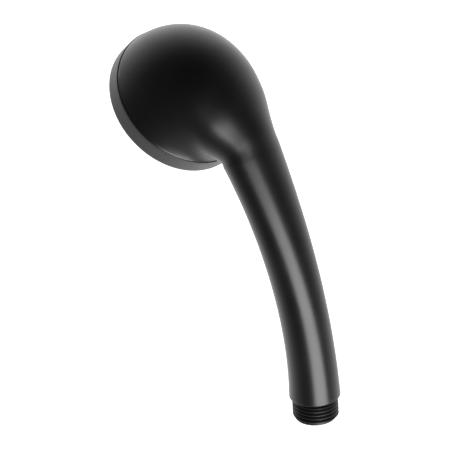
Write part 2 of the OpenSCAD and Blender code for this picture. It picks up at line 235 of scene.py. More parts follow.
# Rows of the shell as (centre, direction, half depth, half width), foot to parting plane
def shellSections():
    s = shellSizes
    seam, throat = s["seamRadius"], s["throatRadius"]
    pivot = headAt - faceUp * (seam + throat)

    def squareOn(u):
        return (spineAt(u) - pivot).dot(Vector((-math.sin(bendAt(u)), math.cos(bendAt(u))))) < 0

    uThroat = halve(squareOn, 0.3, 0.95)
    toThroat = spineAt(uThroat) - pivot
    throatGap = toThroat.length - halfDeep(uThroat)
    startAngle = math.atan2(toThroat.y, toThroat.x)
    endAngle = math.atan2(faceUp.y, faceUp.x)
    depths = steered(throatGap + 2 * halfDeep(uThroat), s["headDepths"], throat + 2 * seam, 0)
    widths = steered(halfWide(uThroat), s["headWidths"], seam, s["neckFlare"])

    sections = []
    for i in range(s["footRows"] + 1):                  # rounded edge of the foot
        a = math.pi / 2 * i / s["footRows"]
        u = s["footEdge"] * (1 - math.cos(a)) / s["spineLength"]
        inset = s["footEdge"] * (1 - math.sin(a))
        d = Vector((math.cos(bendAt(u)), math.sin(bendAt(u))))
        sections.append((spineAt(u), d, halfDeep(u) - inset, halfWide(u) - inset))
    first = s["footEdge"] / s["spineLength"]
    for i in range(1, s["handleRows"] + 1):
        u = mix(first, uThroat, i / s["handleRows"])
        d = Vector((math.cos(bendAt(u)), math.sin(bendAt(u))))
        sections.append((spineAt(u), d, halfDeep(u), halfWide(u)))
    for i in range(1, s["fanRows"] + 1):
        t = i / s["fanRows"]
        angle = mix(startAngle, endAngle, t)
        d = Vector((math.cos(angle), math.sin(angle)))
        near, far = mix(throatGap, throat, t), curveAt(depths, t)
        sections.append((pivot + d * (far + near) / 2, d, (far - near) / 2, curveAt(widths, t)))
    return sections


def sectionRow(section, inset, count):
    centre, d, deep, wide = section
    row = []
    for j in range(count):
        a = 2 * math.pi * j / count
        p = centre + d * ((deep - inset) * math.cos(a))
        row.append(Vector(((wide - inset) * math.sin(a), p.x, p.y)) * mm)
    return row


# Screw thread on the collar that the clamp ring runs on
collarThread = {"crest": 30.9, "root": 30.45, "pitch": 2.5, "from": 0.9, "to": 5.0, "bore": 28.0,
                "top": 5.5, "edge": 0.2, "rows": 49}
# Soft edge of the shell at the parting line: (distance inside the rim, distance in front of the plane)
seamEdge = ((0.02, -0.2), (0.08, -0.07), (0.22, 0.0))


def makeShell():
    s, c, count = shellSizes, collarThread, shellSizes["around"]
    sections = shellSections()
    rows = [sectionRow(section, 0, count) for section in sections]
    seam = s["seamRadius"]
    rows.pop()
    rows += [ringOfPoints(headFrame, seam - inside, z, count) for inside, z in seamEdge]

    def collarRadius(angle, height):
        fade = rise(c["from"] - 0.6, c["from"] + 0.6, height)
        fade *= 1 - rise(c["to"] - 0.6, c["to"], height)
        return mix(c["root"], c["crest"], fade * threadRise(angle, height, c["pitch"]))

    rows.append(ringOfPoints(headFrame, c["root"], 0.0, count))
    for i in range(1, c["rows"] + 1):
        z = i * (c["top"] - 0.3) / c["rows"]
        rows.append(ringOfPoints(headFrame, collarRadius, z, count))
    outline = [(c["root"] - 0.3, c["top"]), (c["bore"] + c["edge"], c["top"]),
               (c["bore"], c["top"] - c["edge"]), (c["bore"], s["collarBack"]),
               (seam - s["wall"] - 0.4, s["collarBack"])]
    rows += [ringOfPoints(headFrame, r, z, count) for r, z in outline]
    # the hidden inner wall needs a third of the rows; its first two would cross the collar
    inner = [section for section in sections if section[0].y > s["innerFrom"]][::-3]
    rows += [sectionRow(section, s["wall"], count) for section in inner[2:]]
    rows.append(ringOfPoints(inletFrame, s["insertRadius"], s["insertTop"], count))
    rows.append(ringOfPoints(inletFrame, s["insertRadius"], s["threadLength"], count))
    shell = loftRows("handleShell", rows, 40)
    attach(shell, "handset")
    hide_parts("handle_shell")
    return shell


# clamp ring

ringSizes = {"radius": 34.15, "height": 8.5, "back": 0.15, "bore": 31.2, "threadRoot": 31.65,
             "pitch": 2.5, "threadEnd": 6.4, "lipBack": 7.0, "lipRadius": 29.3, "frontRound": 0.9,
             "backRound": 0.3, "lipRound": 0.3, "threadRows": 56, "around": 160}


def makeClampRing():
    s = ringSizes

    def boreRadius(angle, height):
        fade = rise(s["back"] + 0.4, s["back"] + 1.4, height)
        fade *= 1 - rise(s["threadEnd"] - 0.8, s["threadEnd"], height)
        return mix(s["bore"], s["threadRoot"], fade * threadRise(angle, height + 0.02, s["pitch"]))

    back, front, lip = s["backRound"], s["frontRound"], s["lipRound"]
    outline = corner(s["radius"] - back, s["back"] + back, back, -90, 0, 5)
    outline += [(s["radius"], z) for z in (2, 4, 6)]
    outline += corner(s["radius"] - front, s["height"] - front, front, 0, 90, 8)
    outline += corner(s["lipRadius"] + lip, s["height"] - lip, lip, 90, 180, 4)
    outline += [(s["lipRadius"], s["lipBack"]), (s["bore"], s["lipBack"])]
    rows = [ringOfPoints(headFrame, r, z, s["around"]) for r, z in outline]
    for i in range(1, s["threadRows"]):
        z = mix(s["lipBack"], s["back"] + 0.2, i / s["threadRows"])
        rows.append(ringOfPoints(headFrame, boreRadius, z, s["around"]))
    rows.append(ringOfPoints(headFrame, s["bore"] + 0.2, s["back"], s["around"]))
    ring = loftRows("clampRing", rows, 40)
    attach(ring, "ring")
    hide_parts("clamp_ring")
    return ring


# inlet nipple with its real helical pipe thread

nippleSizes = {"crest": 10.45, "root": 9.3, "pitch": 1.814, "threadFrom": 0.55, "threadTo": 10.3,
               "top": 11.1, "bore": 6.6, "insert": 9.0, "insertTop": 21.0, "neck": 7.6, "neckTop": 32.0,
               "socket": 5.62, "socketFrom": 24.5, "ledge": 21.5, "ledgeBore": 4.6,
               "edge": 0.3, "threadRows": 110, "around": 128}
# O-ring grooves: (radius, lower edge, upper edge)
insertGroove = (7.7, 15.2, 16.8)
socketGroove = (6.6, 27.3, 28.7)


def groove(wall, cut):
    radius, low, high = cut
    return [(wall, low), (radius, low), (radius, high), (wall, high)]


def makeNipple():
    s = nippleSizes

    def threadRadius(angle, height):
        fade = rise(s["threadFrom"] - 0.4, s["threadFrom"] + 1.2, height)
        fade *= 1 - rise(s["threadTo"] - 1.2, s["threadTo"], height)
        return mix(s["root"], s["crest"], fade * threadRise(angle, height, s["pitch"], 0.9))

    edge, start = s["edge"], 0.4
    outline = [(s["bore"] + edge, 0), (s["root"] - 0.5, 0), (s["root"] - 0.12, 0.14), (s["root"], start)]
    rows = [ringOfPoints(inletFrame, r, z, s["around"]) for r, z in outline]
    for i in range(1, s["threadRows"]):
        z = mix(start, s["top"], i / s["threadRows"])
        rows.append(ringOfPoints(inletFrame, threadRadius, z, s["around"]))
    outline = [(s["root"], s["top"]), (s["insert"], s["top"])]
    outline += groove(s["insert"], insertGroove)
    outline += [(s["insert"], s["insertTop"] - edge), (s["insert"] - edge, s["insertTop"]),
                (s["neck"], s["insertTop"] + 1), (s["neck"], s["neckTop"]),
                (s["socket"] + edge, s["neckTop"]), (s["socket"], s["neckTop"] - edge)]
    outline += groove(s["socket"], socketGroove)[::-1]
    outline += [(s["socket"], s["socketFrom"]), (s["ledgeBore"], s["socketFrom"]),
                (s["ledgeBore"], s["ledge"]), (s["bore"], s["ledge"]), (s["bore"], edge)]
    rows += [ringOfPoints(inletFrame, r, z, s["around"]) for r, z in outline]
    nipple = loftRows("inletNipple", rows)
    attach(nipple, "handset")
    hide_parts("inlet_nipple")
    return nipple


# node helpers, shared by the geometry and the material trees

def addNode(tree, kind, settings=None, inputs=None):
    node = tree.nodes.new(kind)
    for name, value in (settings or {}).items():
        setattr(node, name, value)
    for key, value in (inputs or {}).items():
        if isinstance(value, bpy.types.NodeSocket):
            tree.links.new(value, node.inputs[key])
        else:
            node.inputs[key].default_value = value
    return node


def newShapeTree(name, inputs):
    tree = bpy.data.node_groups.new(name, "GeometryNodeTree")
    tree.interface.new_socket("Geometry", in_out="OUTPUT", socket_type="NodeSocketGeometry")
    for label, kind in inputs:
        tree.interface.new_socket(label, in_out="INPUT", socket_type=kind)
    return tree, addNode(tree, "NodeGroupInput").outputs


# Ends a tree: real mesh, one finish, out
def endShapeTree(tree, geometry, material):
    real = addNode(tree, "GeometryNodeRealizeInstances", inputs={"Geometry": geometry})
    done = addNode(tree, "GeometryNodeSetMaterial", inputs={
        "Geometry": real.outputs[0], "Material": material})
    addNode(tree, "NodeGroupOutput", inputs={"Geometry": done.outputs[0]})


# Runs a tree with its values and keeps the result as a plain mesh in the object's frame
def growPiece(name, tree, values, place, sharpAngle=35):
    host = bpy.data.objects.new(name + "Host", bpy.data.meshes.new(name + "Host"))
    scene.collection.objects.link(host)
    modifier = host.modifiers.new("Grow", "NODES")
    modifier.node_group = tree
    for item in tree.interface.items_tree:
        if item.in_out == "INPUT" and item.name in values:
            modifier[item.identifier] = values[item.name]
    host.update_tag()
    seen = host.evaluated_get(bpy.context.evaluated_depsgraph_get())
    data = bpy.data.meshes.new_from_object(seen)
    data.transform(place)
    data.name = name
    bpy.data.objects.remove(host)
    piece = bpy.data.objects.new(name, data)
    scene.collection.objects.link(piece)
    work = bmesh.new()
    work.from_mesh(data)
    bmesh.ops.remove_doubles(work, verts=work.verts, dist=1e-7)
    bmesh.ops.recalc_face_normals(work, faces=work.faces)
    work.to_mesh(data)
    work.free()
    smoothFaces(piece, sharpAngle)
    return piece


# finishes

def hexColour(code):
    parts = [int(code[i:i + 2], 16) / 255 for i in (1, 3, 5)]
    return tuple(p / 12.92 if p <= 0.04045 else ((p + 0.055) / 1.055) ** 2.4 for p in parts) + (1.0,)


def newFinish(name):
    material = bpy.data.materials.new(name)
    material.use_nodes = True
    tree = material.node_tree
    tree.nodes.clear()
    shader = addNode(tree, "ShaderNodeBsdfPrincipled")
    addNode(tree, "ShaderNodeOutputMaterial", inputs={"Surface": shader.outputs["BSDF"]})
    place = addNode(tree, "ShaderNodeTexCoord").outputs["Object"]
    return material, tree, shader, place


# A moulded or coated surface: soft colour and gloss variation, and a mould grain.
# The real grain is finer than a view of the whole object shows, so it is drawn coarser and shallow.
def mouldedFinish(name, low, high, rough, patchMm, grainMm, grainDepthMm, ior=1.5):
    material, tree, shader, place = newFinish(name)
    patch = addNode(tree, "ShaderNodeTexNoise", inputs={
        "Vector": place, "Scale": 1 / (patchMm * mm), "Detail": 3.0, "Roughness": 0.5})
    colour = addNode(tree, "ShaderNodeMix", {"data_type": "RGBA"})
    tree.links.new(patch.outputs["Fac"], colour.inputs["Factor"])
    colour.inputs[6].default_value = hexColour(low)
    colour.inputs[7].default_value = hexColour(high)
    gloss = addNode(tree, "ShaderNodeMapRange", inputs={
        "Value": patch.outputs["Fac"], "From Min": 0.3, "From Max": 0.7,
        "To Min": rough[0], "To Max": rough[1]})
    grain = addNode(tree, "ShaderNodeTexNoise", inputs={
        "Vector": place, "Scale": 1 / (grainMm * mm), "Detail": 2.0, "Roughness": 0.6})
    bump = addNode(tree, "ShaderNodeBump", inputs={
        "Height": grain.outputs["Fac"], "Distance": grainDepthMm * mm, "Strength": 1.0})
    tree.links.new(colour.outputs[2], shader.inputs["Base Color"])
    tree.links.new(gloss.outputs["Result"], shader.inputs["Roughness"])
    tree.links.new(bump.outputs["Normal"], shader.inputs["Normal"])
    shader.inputs["IOR"].default_value = ior
    return material


# Drawn or turned stainless steel: fine lines along or round the piece
def steelFinish(name, low, high, rough, lineMm, stretch):
    material, tree, shader, place = newFinish(name)
    lines = addNode(tree, "ShaderNodeMapping", inputs={"Vector": place, "Scale": stretch})
    wear = addNode(tree, "ShaderNodeTexNoise", inputs={
        "Vector": lines.outputs["Vector"], "Scale": 1 / (lineMm * mm), "Detail": 4.0, "Roughness": 0.6})
    colour = addNode(tree, "ShaderNodeMix", {"data_type": "RGBA"})
    tree.links.new(wear.outputs["Fac"], colour.inputs["Factor"])
    colour.inputs[6].default_value = hexColour(low)
    colour.inputs[7].default_value = hexColour(high)
    gloss = addNode(tree, "ShaderNodeMapRange", inputs={
        "Value": wear.outputs["Fac"], "To Min": rough[0], "To Max": rough[1]})
    bump = addNode(tree, "ShaderNodeBump", inputs={
        "Height": wear.outputs["Fac"], "Distance": 0.004 * mm, "Strength": 0.6})
    tree.links.new(colour.outputs[2], shader.inputs["Base Color"])
    tree.links.new(gloss.outputs["Result"], shader.inputs["Roughness"])
    tree.links.new(bump.outputs["Normal"], shader.inputs["Normal"])
    shader.inputs["Metallic"].default_value = 1.0
    return material


# ABS with a satin black coat: deep black face on, milky bright at the edges
satinBlackAbs = mouldedFinish("satinBlackCoatedAbs", "#060607", "#0a0a0b", (0.30, 0.35), 14, 1.6, 0.006)
# The ring is bare moulded ABS, a shade greyer and duller than the coated shell
ringAbs = mouldedFinish("blackMouldedAbs", "#232324", "#29292a", (0.36, 0.42), 10, 1.4, 0.006)
# Glass-filled nylon of the threaded inlet: duller, with a coarser mould grain
nippleNylon = mouldedFinish("blackGlassFilledNylon", "#060606", "#0c0c0d", (0.40, 0.50), 5, 1.2, 0.012)
# Dark grey spark-eroded face of the spray plate
faceAbs = mouldedFinish("greyTexturedAbs", "#3b3d40", "#434548", (0.42, 0.52), 9, 1.2, 0.02)
# Liquid silicone: soft, slightly dusty grey
nozzleSilicone = mouldedFinish("greyLiquidSilicone", "#7d8186", "#8b8f94", (0.50, 0.62), 6, 1.2, 0.01, 1.41)
# Natural acetal of the water parts: waxy off-white
acetal = mouldedFinish("naturalAcetal", "#d8d7d0", "#e4e3dc", (0.34, 0.44), 8, 1.5, 0.008, 1.48)
# Nitrile rubber of the O-rings and seals
nitrile = mouldedFinish("blackNitrileRubber", "#141414", "#1e1e1e", (0.50, 0.66), 3, 1.2, 0.012, 1.52)
# Polypropylene rim of the inlet filter, in the usual signal blue
filterBlue = mouldedFinish("blueMouldedPolypropylene", "#3466a8", "#3f74b8", (0.38, 0.48), 4, 1.2, 0.008)
# Acetal body of the flow regulator, dyed green
regulatorGreen = mouldedFinish("greenMouldedAcetal", "#2f7a4a", "#3a8a57", (0.38, 0.48), 4, 1.2, 0.008)
# Drawn stainless wire of the sieve and the spring, its lines along the wire
wireSteel = steelFinish("drawnStainlessWire", "#b4b6b8", "#d0d2d3", (0.22, 0.34), 1.2, (1, 1, 0.25))
# Turned stainless screws, their lines round the head
screwSteel = steelFinish("turnedStainlessSteel", "#a9abad", "#c8cacb", (0.24, 0.36), 1.2, (1, 1, 3))
print("finishes made")


# nozzles, all in one soft mat

nozzleSizes = {"rows": 4, "innerCount": 8, "countStep": 6, "firstRadius": 8.6, "rowGap": 5.6,
               "matBack": 4.5, "matFront": 6.2, "matRadius": 27.8, "matBore": 1.6, "plateFront": 8.3,
               "tip": 9.6, "footRadius": 1.25, "tipRadius": 0.95, "bore": 0.45, "edge": 0.3}


# Rows of points in rings, one nozzle place to a point
def nozzleTree(rows):
    tree, given = newShapeTree("nozzlePlaces", [
        ("Sheet", "NodeSocketObject"), ("Nozzle", "NodeSocketObject"), ("Inner Count", "NodeSocketInt"),
        ("Count Step", "NodeSocketInt"), ("First Radius", "NodeSocketFloat"), ("Row Gap", "NodeSocketFloat"),
        ("Material", "NodeSocketMaterial")])
    joined = addNode(tree, "GeometryNodeJoinGeometry")
    for k in range(rows):
        extra = addNode(tree, "ShaderNodeMath", {"operation": "MULTIPLY"}, {0: given["Count Step"], 1: k})
        count = addNode(tree, "ShaderNodeMath", {"operation": "ADD"},
                        {0: given["Inner Count"], 1: extra.outputs[0]})
        reach = addNode(tree, "ShaderNodeMath", {"operation": "MULTIPLY_ADD"},
                        {0: given["Row Gap"], 1: k, 2: given["First Radius"]})
        circle = addNode(tree, "GeometryNodeMeshCircle", inputs={"Vertices": count.outputs[0],
                                                                 "Radius": reach.outputs[0]})
        half = addNode(tree, "ShaderNodeMath", {"operation": "DIVIDE"}, {0: math.pi, 1: count.outputs[0]})
        start = addNode(tree, "ShaderNodeMath", {"operation": "ADD"}, {0: half.outputs[0], 1: math.pi / 2})
        turn = addNode(tree, "ShaderNodeCombineXYZ", inputs={"Z": start.outputs[0]})
        ring = addNode(tree, "GeometryNodeTransform", inputs={"Geometry": circle.outputs[0],
                                                              "Rotation": turn.outputs[0]})
        tree.links.new(ring.outputs[0], joined.inputs[0])
    nozzle = addNode(tree, "GeometryNodeObjectInfo", inputs={"Object": given["Nozzle"]})
    sheet = addNode(tree, "GeometryNodeObjectInfo", inputs={"Object": given["Sheet"]})
    placed = addNode(tree, "GeometryNodeInstanceOnPoints", inputs={
        "Points": joined.outputs[0], "Instance": nozzle.outputs["Geometry"]})
    every = addNode(tree, "GeometryNodeJoinGeometry")
    tree.links.new(placed.outputs[0], every.inputs[0])
    tree.links.new(sheet.outputs["Geometry"], every.inputs[0])
    endShapeTree(tree, every.outputs[0], given["Material"])
    return tree


def nozzleValues(sheet, nozzle, material):
    s = nozzleSizes
    return {"Sheet": sheet, "Nozzle": nozzle, "Inner Count": s["innerCount"], "Count Step": s["countStep"],
            "First Radius": s["firstRadius"], "Row Gap": s["rowGap"], "Material": material}


def makeNozzles(tree):
    s = nozzleSizes
    plain = Matrix.Identity(4)
    edge = s["edge"]
    outline = [(s["matBore"], s["matBack"])]
    outline += corner(s["matRadius"] - edge, s["matBack"] + edge, edge, -90, 0, 3)
    outline += corner(s["matRadius"] - edge, s["matFront"] - edge, edge, 0, 90, 3)
    outline += [(s["matBore"], s["matFront"])]
    sheet = turned("matSheet", outline, plain)
    boreEnd, foot, middle = s["plateFront"] - 0.6, s["matFront"] - 0.1, 0.02
    outline = [(s["bore"], boreEnd), (middle, boreEnd), (middle, foot), (s["footRadius"], foot)]
    outline += corner(s["tipRadius"] - edge, s["tip"] - edge, edge, 5, 90, 4)
    outline += [(s["bore"] + 0.12, s["tip"]), (s["bore"], s["tip"] - 0.12)]
    nozzle = turned("oneNozzle", outline, plain, 20)
    mat = growPiece("nozzleMat", tree, nozzleValues(sheet, nozzle, nozzleSilicone), headFrame)
    for helper in (sheet, nozzle):
        bpy.data.objects.remove(helper)
    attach(mat, "spray_face")
    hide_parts("nozzle_mat")
    return mat


# Low moulded collar round each nozzle hole in the spray plate
collarSizes = {"bore": 1.45, "middle": 1.7, "round": 0.25, "out": 0.12, "root": 0.3}


def makeCollars(tree):
    s, front = collarSizes, nozzleSizes["plateFront"]
    outline = [(s["bore"], front - s["root"]), (s["bore"], front + s["out"])]
    outline += corner(s["middle"], front, s["round"], 135, 0, 5)
    outline += [(s["middle"] + s["round"], front - s["root"])]
    collar = turned("oneCollar", outline, Matrix.Identity(4), 24)
    collars = growPiece("nozzleCollars", tree, nozzleValues(None, collar, faceAbs), headFrame)
    bpy.data.objects.remove(collar)
    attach(collars, "spray_face")
    return collars


# centre screw's cap, gently domed

capSizes = {"radius": 3.9, "back": 8.65, "edge": 0.3, "edgeAt": 9.1, "crown": 9.62, "fall": 0.24}


def makeScrewCap():
    s = capSizes
    flat = s["radius"] - s["edge"]
    outline = [(0.0, s["back"]), (s["radius"], s["back"])] + corner(flat, s["edgeAt"], s["edge"], 0, 60, 4)
    outline += [(r, s["crown"] - s["fall"] * (r / flat) ** 2) for r in (3.2, 2.6, 1.9, 1.2, 0.5, 0.0)]
    cap = turned("screwCap", outline, headFrame, 64)
    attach(cap, "spray_face")
    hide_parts("screw_cap")
    cap.data.materials.append(ringAbs)
    return cap


# woven sieve in the inlet

# The real weave is about twice as fine; this is the finest that a close view shows clearly
sieveSizes = {"radius": 5.46, "pitch": 0.62, "wire": 0.11, "wave": 0.1, "height": 1.8}


def sieveTree():
    tree, given = newShapeTree("wovenSieve", [
        ("Radius", "NodeSocketFloat"), ("Pitch", "NodeSocketFloat"), ("Wire", "NodeSocketFloat"),
        ("Wave", "NodeSocketFloat"), ("Height", "NodeSocketFloat"), ("Material", "NodeSocketMaterial")])

    def math2(operation, a, b=0.0):
        return addNode(tree, "ShaderNodeMath", {"operation": operation}, {0: a, 1: b}).outputs[0]

    across = math2("FLOOR", math2("DIVIDE", given["Radius"], given["Pitch"]))
    count = math2("ADD", math2("MULTIPLY", across, 2.0), 1.0)
    lowest = math2("MULTIPLY", math2("MULTIPLY", across, given["Pitch"]), -1.0)
    start = addNode(tree, "ShaderNodeCombineXYZ", inputs={"Y": lowest})
    step = addNode(tree, "ShaderNodeCombineXYZ", inputs={"Y": given["Pitch"]})
    places = addNode(tree, "GeometryNodeMeshLine", {"mode": "OFFSET"}, {
        "Count": count, "Start Location": start.outputs[0], "Offset": step.outputs[0]})
    line = addNode(tree, "GeometryNodeCurvePrimitiveLine", inputs={"Start": (-1, 0, 0), "End": (1, 0, 0)})
    fine = addNode(tree, "GeometryNodeResampleCurve", inputs={"Curve": line.outputs[0], "Count": 84})
    wires = addNode(tree, "GeometryNodeInstanceOnPoints", inputs={
        "Points": places.outputs[0], "Instance": fine.outputs[0]})
    real = addNode(tree, "GeometryNodeRealizeInstances", inputs={"Geometry": wires.outputs[0]})
    at = addNode(tree, "ShaderNodeSeparateXYZ",
                 inputs={0: addNode(tree, "GeometryNodeInputPosition").outputs[0]})
    half = math2("SQRT", math2("SUBTRACT", math2("MULTIPLY", given["Radius"], given["Radius"]),
                               math2("MULTIPLY", at.outputs[1], at.outputs[1])))
    x = math2("MULTIPLY", at.outputs[0], half)
    phase = math2("MULTIPLY", math2("DIVIDE", math2("ADD", x, at.outputs[1]), given["Pitch"]), math.pi)
    z = math2("MULTIPLY", math2("COSINE", phase), given["Wave"])
    moved = addNode(tree, "ShaderNodeCombineXYZ", inputs={"X": x, "Y": at.outputs[1], "Z": z})
    waved = addNode(tree, "GeometryNodeSetPosition", inputs={"Geometry": real.outputs[0],
                                                             "Position": moved.outputs[0]})
    profile = addNode(tree, "GeometryNodeCurvePrimitiveCircle", inputs={
        "Resolution": 6, "Radius": given["Wire"]})
    warp = addNode(tree, "GeometryNodeCurveToMesh", inputs={
        "Curve": waved.outputs[0], "Profile Curve": profile.outputs[0], "Fill Caps": True})
    weft = addNode(tree, "GeometryNodeTransform", inputs={
        "Geometry": warp.outputs[0], "Rotation": (math.pi, 0, math.pi / 2)})
    both = addNode(tree, "GeometryNodeJoinGeometry")
    tree.links.new(warp.outputs[0], both.inputs[0])
    tree.links.new(weft.outputs[0], both.inputs[0])
    up = addNode(tree, "ShaderNodeCombineXYZ", inputs={"Z": given["Height"]})
    lifted = addNode(tree, "GeometryNodeTransform", inputs={"Geometry": both.outputs[0],
                                                            "Translation": up.outputs[0]})
    endShapeTree(tree, lifted.outputs[0], given["Material"])
    return tree


def makeSieve():
    s = sieveSizes
    sieve = growPiece("filterMesh", sieveTree(), {
        "Radius": s["radius"], "Pitch": s["pitch"], "Wire": s["wire"], "Wave": s["wave"],
        "Height": s["height"], "Material": wireSteel}, inletFrame, 60)
    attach(sieve, "handset")
    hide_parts("filter_mesh")
    return sieve


# return spring of the check valve, built at one length; the real one shortens as the poppet lifts

springSizes = {"radius": 1.75, "wire": 0.3, "turns": 5.0, "from": 11.92, "to": 19.08, "travel": 2.5,
               "fixedEnd": 19.4, "rest": 7.8}


def springTree():
    tree, given = newShapeTree("coilSpring", [
        ("Radius", "NodeSocketFloat"), ("Turns", "NodeSocketFloat"), ("Length", "NodeSocketFloat"),
        ("Start", "NodeSocketFloat"), ("Wire", "NodeSocketFloat"), ("Material", "NodeSocketMaterial")])
    coil = addNode(tree, "GeometryNodeCurveSpiral", inputs={
        "Resolution": 28, "Rotations": given["Turns"], "Start Radius": given["Radius"],
        "End Radius": given["Radius"], "Height": given["Length"]})
    profile = addNode(tree, "GeometryNodeCurvePrimitiveCircle", inputs={
        "Resolution": 12, "Radius": given["Wire"]})
    wire = addNode(tree, "GeometryNodeCurveToMesh", inputs={
        "Curve": coil.outputs[0], "Profile Curve": profile.outputs[0], "Fill Caps": True})
    up = addNode(tree, "ShaderNodeCombineXYZ", inputs={"Z": given["Start"]})
    lifted = addNode(tree, "GeometryNodeTransform", inputs={"Geometry": wire.outputs[0],
                                                            "Translation": up.outputs[0]})
    endShapeTree(tree, lifted.outputs[0], given["Material"])
    return tree


def makeSpring():
    s = springSizes
    spring = growPiece("checkValveSpring", springTree(), {
        "Radius": s["radius"], "Turns": s["turns"], "Length": s["to"] - s["from"], "Start": s["from"],
        "Wire": s["wire"], "Material": wireSteel}, inletFrame, 60)
    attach(spring, "handset")
    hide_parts("check_valve_spring")
    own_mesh(spring)
    return spring


# water tube along a smooth curve inside the handle

tubeSizes = {"radius": 5.5, "bore": 4.3, "pull": 40.0, "from": 24.55, "portUp": -28.0,
             "portOut": -13.6, "portTilt": 14.0, "portGap": 0.05, "around": 40}


def tubeTree():
    tree, given = newShapeTree("bentTube", [
        ("Start", "NodeSocketVector"), ("Start Pull", "NodeSocketVector"), ("End Pull", "NodeSocketVector"),
        ("End", "NodeSocketVector"), ("Radius", "NodeSocketFloat"), ("Material", "NodeSocketMaterial")])
    path = addNode(tree, "GeometryNodeCurvePrimitiveBezierSegment", {"mode": "POSITION"}, {
        "Resolution": 48, "Start": given["Start"], "Start Handle": given["Start Pull"],
        "End Handle": given["End Pull"], "End": given["End"]})
    profile = addNode(tree, "GeometryNodeCurvePrimitiveCircle", inputs={
        "Resolution": tubeSizes["around"], "Radius": given["Radius"]})
    skin = addNode(tree, "GeometryNodeCurveToMesh", inputs={
        "Curve": path.outputs[0], "Profile Curve": profile.outputs[0]})
    endShapeTree(tree, skin.outputs[0], given["Material"])
    return tree


def makeTube():
    s = tubeSizes
    tilt = math.radians(s["portTilt"])
    port = headAt + faceUp * s["portUp"] + faceOut * s["portOut"]
    direction = faceUp * math.cos(tilt) - faceOut * math.sin(tilt)
    end = port - direction * s["portGap"]
    pull = end - direction * s["pull"]
    tube = growPiece("waterTube", tubeTree(), {
        "Start": (0, 0, s["from"]), "Start Pull": (0, 0, s["from"] + s["pull"]),
        "End Pull": (0, pull.x, pull.y), "End": (0, end.x, end.y), "Radius": s["radius"],
        "Material": acetal}, inletFrame)
    wall = tube.modifiers.new("Wall", "SOLIDIFY")
    wall.thickness = (s["radius"] - s["bore"]) * mm
    wall.offset = -1.0
    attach(tube, "handset")
    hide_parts("water_tube")
    return tube


# posts inside the dome that take the chamber screws

postSizes = {"count": 3, "reach": 25.0, "radius": 2.7, "hole": 1.15, "back": -10.0, "holeEnd": -9.0,
             "front": 0.55, "edge": 0.2}


def postTree():
    tree, given = newShapeTree("screwPosts", [
        ("Post", "NodeSocketObject"), ("Count", "NodeSocketInt"), ("Reach", "NodeSocketFloat"),
        ("Material", "NodeSocketMaterial")])
    circle = addNode(tree, "GeometryNodeMeshCircle", inputs={
        "Vertices": given["Count"], "Radius": given["Reach"]})
    turn = addNode(tree, "GeometryNodeTransform", inputs={"Geometry": circle.outputs[0],
                                                          "Rotation": (0, 0, math.pi / 2)})
    post = addNode(tree, "GeometryNodeObjectInfo", inputs={"Object": given["Post"]})
    placed = addNode(tree, "GeometryNodeInstanceOnPoints", inputs={
        "Points": turn.outputs[0], "Instance": post.outputs["Geometry"]})
    endShapeTree(tree, placed.outputs[0], given["Material"])
    return tree


def makePosts():
    s = postSizes
    edge, middle = s["edge"], 0.02
    outline = [(s["radius"], s["back"]), (s["radius"], s["front"] - edge), (s["radius"] - edge, s["front"]),
               (s["hole"] + edge, s["front"]), (s["hole"], s["front"] - edge), (s["hole"], s["holeEnd"]),
               (middle, s["holeEnd"]), (middle, s["back"])]
    post = turned("onePost", outline, Matrix.Identity(4), 32)
    posts = growPiece("shellScrewPosts", postTree(), {
        "Post": post, "Count": s["count"], "Reach": s["reach"], "Material": satinBlackAbs}, headFrame)
    bpy.data.objects.remove(post)
    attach(posts, "handset")
    return posts


shell = makeShell()
shell.data.materials.append(satinBlackAbs)
print("shell made", len(shell.data.polygons))
ring = makeClampRing()
ring.data.materials.append(ringAbs)
nipple = makeNipple()
nipple.data.materials.append(nippleNylon)
print("ring and nipple made")
places = nozzleTree(nozzleSizes["rows"])
makeNozzles(places)
makeCollars(places)
makeScrewCap()
print("spray face made")
makeSieve()
makeSpring()
makeTube()
makePosts()
print("inner parts made")


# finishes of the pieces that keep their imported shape

nodeFinishes = {
    "nipple_o_ring": nitrile, "filter_rim": filterBlue, "flow_regulator_body": regulatorGreen,
    "flow_regulator_core": acetal, "flow_regulator_o_ring": nitrile, "check_valve_housing": acetal,
    "check_valve_poppet": acetal, "check_valve_seal": nitrile, "check_valve_o_ring": nitrile,
    "tube_o_ring_lower": nitrile, "tube_o_ring_upper": nitrile, "water_chamber": acetal,
    "chamber_screws": screwSteel, "face_seal": nitrile, "diffuser_plate": acetal,
    "spray_plate": faceAbs, "plate_screw": screwSteel,
}
for nodeName, finish in nodeFinishes.items():
    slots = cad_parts[nodeName].material_slots
    if not slots:
        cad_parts[nodeName].data.materials.append(finish)
    for slot in slots:
        slot.material = finish
print("packed pieces finished")


# camera: from behind, to the side and above, through a very long lens

# frameWidth is what the picture spans, and aim its middle across and above the inlet, in mm
viewSettings = {"azimuth": 132.93, "elevation": 29.16, "roll": 3.49, "distance": 6.0,
                "frameWidth": 203.71, "aim": (-41.19, 86.02), "inletHeight": 0.35}


